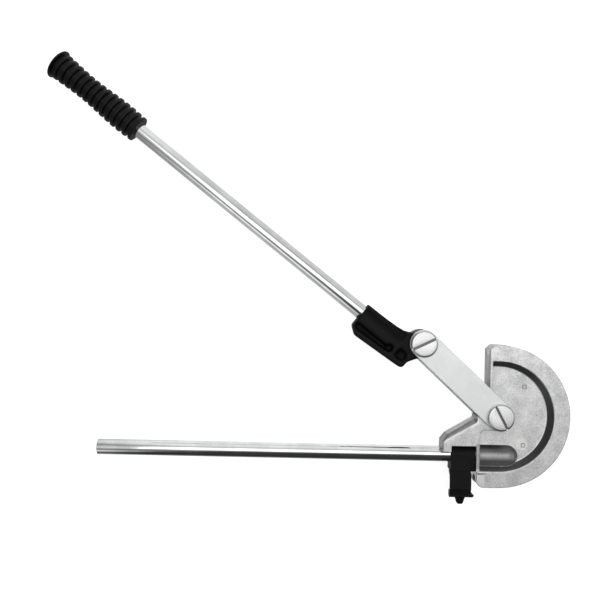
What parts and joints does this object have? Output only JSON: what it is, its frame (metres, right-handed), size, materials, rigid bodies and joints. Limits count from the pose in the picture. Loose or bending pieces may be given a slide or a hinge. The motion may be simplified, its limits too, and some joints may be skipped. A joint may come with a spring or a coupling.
{
  "type": "manual tube bender",
  "caption": "Lever tube bender with a half-round grooved former, a swinging shoe handle, a fixed handle and a swing-over tube hook.",
  "frame": {"origin": "on the axis of the tube that is bent, where the bend starts, right below the former's pivot", "axes": "+X along the tube away from the fixed handle, +Y towards the former's pivot, +Z along the pivots towards the slotted bolt heads"},
  "size_m": [0.5566, 0.4697, 0.0518],
  "materials": {
    "former": "die cast, as cast",
    "zinc_plate": "bright zinc plated steel",
    "chrome_tube": "bright chrome plate",
    "black_casting": "black powder coat",
    "bronze": "sintered bronze",
    "washer_nylon": "nylon",
    "pin_steel": "spring steel",
    "grip_rubber": "moulded rubber"
  },
  "bodies": {
    "former": {"former": "former", "hub_bush": "bronze", "fixed_handle": "chrome_tube", "fixed_handle_pin": "pin_steel"},
    "former_pivot": {"former_pivot_bolt": "zinc_plate", "former_pivot_washer": "zinc_plate", "former_pivot_nut": "zinc_plate"},
    "links": {"front_link": "zinc_plate", "rear_link": "zinc_plate", "hub_thrust_washers": "washer_nylon", "handle_pivot_bolt": "zinc_plate", "handle_pivot_washer": "zinc_plate", "handle_pivot_nut": "zinc_plate", "knuckle_thrust_washers": "washer_nylon"},
    "handle": {"handle_block": "black_casting", "knuckle_bush": "bronze", "bending_handle": "chrome_tube", "bending_handle_pin": "pin_steel", "grip": "grip_rubber"},
    "hook": {"tube_hook": "black_casting"}
  },
  "joints": [
    {"name": "bend_swing", "type": "hinge", "parent": "former", "child": "former_pivot", "pos_m": [0, 0.072, 0], "axis": [0, 0, 1], "range_deg": [-180, 0]},
    {"name": "link_fold", "type": "hinge", "parent": "former_pivot", "child": "links", "pos_m": [0, 0.072, 0], "axis": [0, 0, 1], "range_deg": [-47.2, 0]},
    {"name": "handle_fold", "type": "hinge", "parent": "links", "child": "handle", "pos_m": [-0.08071, 0.14674, 0], "axis": [0, 0, 1], "range_deg": [0, 81.7]},
    {"name": "hook_swing", "type": "hinge", "parent": "former", "child": "hook", "pos_m": [0, 0.03, 0], "axis": [-1, 0, 0], "range_deg": [0, 90]}
  ],
  "couplings": [
    {"joint": "handle_fold", "follows": "link_fold", "ratio": -1.7299}
  ]
}
